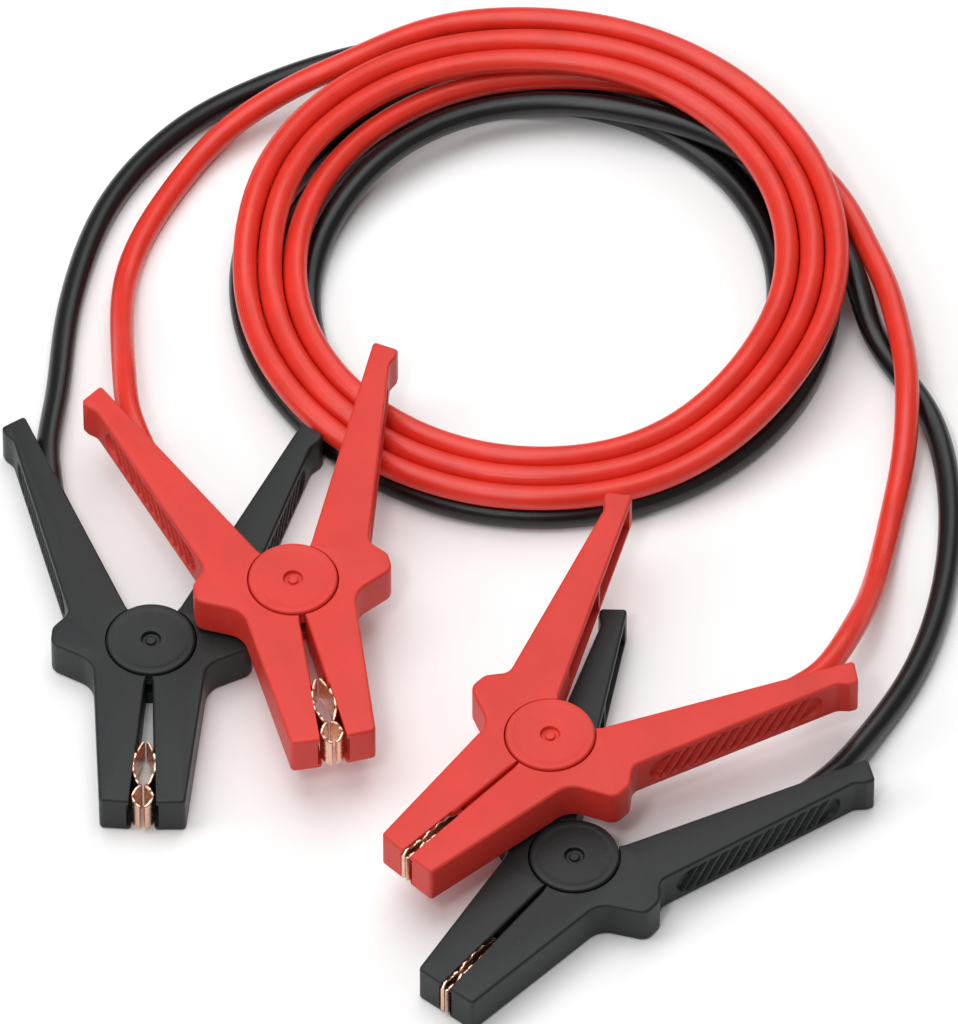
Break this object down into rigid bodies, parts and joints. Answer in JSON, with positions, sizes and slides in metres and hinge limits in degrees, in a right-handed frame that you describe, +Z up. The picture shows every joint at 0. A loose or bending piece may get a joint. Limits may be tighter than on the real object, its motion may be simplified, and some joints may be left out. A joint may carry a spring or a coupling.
{
  "type": "jumper cable set",
  "caption": "Red and black booster leads wound in one loose coil, with fully insulated spring clamps on the ends and copper contacts in the jaws.",
  "frame": {"origin": "on the floor, under the middle of the four clamps", "axes": "+Z up, +Y from the clamps' jaws towards the coil, +X from the left pair of clamps to the right pair"},
  "size_m": [0.3528, 0.4632, 0.0367],
  "materials": {
    "red_plastic": "satin moulded plastic, finely textured",
    "black_plastic": "satin moulded plastic, finely textured",
    "red_cable": "smooth flexible cable jacket",
    "black_cable": "smooth flexible cable jacket",
    "copper": "copper-plated pressed strip",
    "spring_steel": "bright spring wire"
  },
  "bodies": {
    "leads": {"red_left_cable_half": "red_plastic", "red_left_pivot_cap": "red_plastic", "red_left_pivot_base": "red_plastic", "red_left_cable_contact": "copper", "red_left_spring": "spring_steel", "black_left_cable_half": "black_plastic", "black_left_pivot_cap": "black_plastic", "black_left_pivot_base": "black_plastic", "black_left_cable_contact": "copper", "black_left_spring": "spring_steel", "red_right_cable_half": "red_plastic", "red_right_pivot_cap": "red_plastic", "red_right_pivot_base": "red_plastic", "red_right_cable_contact": "copper", "red_right_spring": "spring_steel", "black_right_cable_half": "black_plastic", "black_right_pivot_cap": "black_plastic", "black_right_pivot_base": "black_plastic", "black_right_cable_contact": "copper", "black_right_spring": "spring_steel", "red_cable_coil": "red_cable", "red_cable_tail_left": "red_cable", "red_cable_tail_right": "red_cable", "black_cable_coil": "black_cable", "black_cable_tail_left": "black_cable", "black_cable_tail_right": "black_cable"},
    "red_left_grip": {"red_left_squeeze_half": "red_plastic", "red_left_squeeze_contact": "copper"},
    "black_left_grip": {"black_left_squeeze_half": "black_plastic", "black_left_squeeze_contact": "copper"},
    "red_right_grip": {"red_right_squeeze_half": "red_plastic", "red_right_squeeze_contact": "copper"},
    "black_right_grip": {"black_right_squeeze_half": "black_plastic", "black_right_squeeze_contact": "copper"}
  },
  "joints": [
    {"name": "red_left_squeeze", "type": "hinge", "parent": "leads", "child": "red_left_grip", "pos_m": [-0.0514, 0.03325, 0.02725], "axis": [0, 0, 1], "range_deg": [0, 35], "stiffness_Nm_per_rad": 1.5, "springref_deg": -2.86, "deforming": ["red_left_spring"]},
    {"name": "black_left_squeeze", "type": "hinge", "parent": "leads", "child": "black_left_grip", "pos_m": [-0.1031, 0.01995, 0.0085], "axis": [0, 0, 1], "range_deg": [0, 35], "stiffness_Nm_per_rad": 1.5, "springref_deg": -2.86, "deforming": ["black_left_spring"]},
    {"name": "red_right_squeeze", "type": "hinge", "parent": "leads", "child": "red_right_grip", "pos_m": [0.0418, -0.03845, 0.02725], "axis": [0, 0, -1], "range_deg": [0, 35], "stiffness_Nm_per_rad": 1.5, "springref_deg": -2.86, "deforming": ["red_right_spring"]},
    {"name": "black_right_squeeze", "type": "hinge", "parent": "leads", "child": "black_right_grip", "pos_m": [0.0505, -0.07915, 0.0085], "axis": [0, 0, -1], "range_deg": [0, 35], "stiffness_Nm_per_rad": 1.5, "springref_deg": -2.86, "deforming": ["black_right_spring"]}
  ]
}
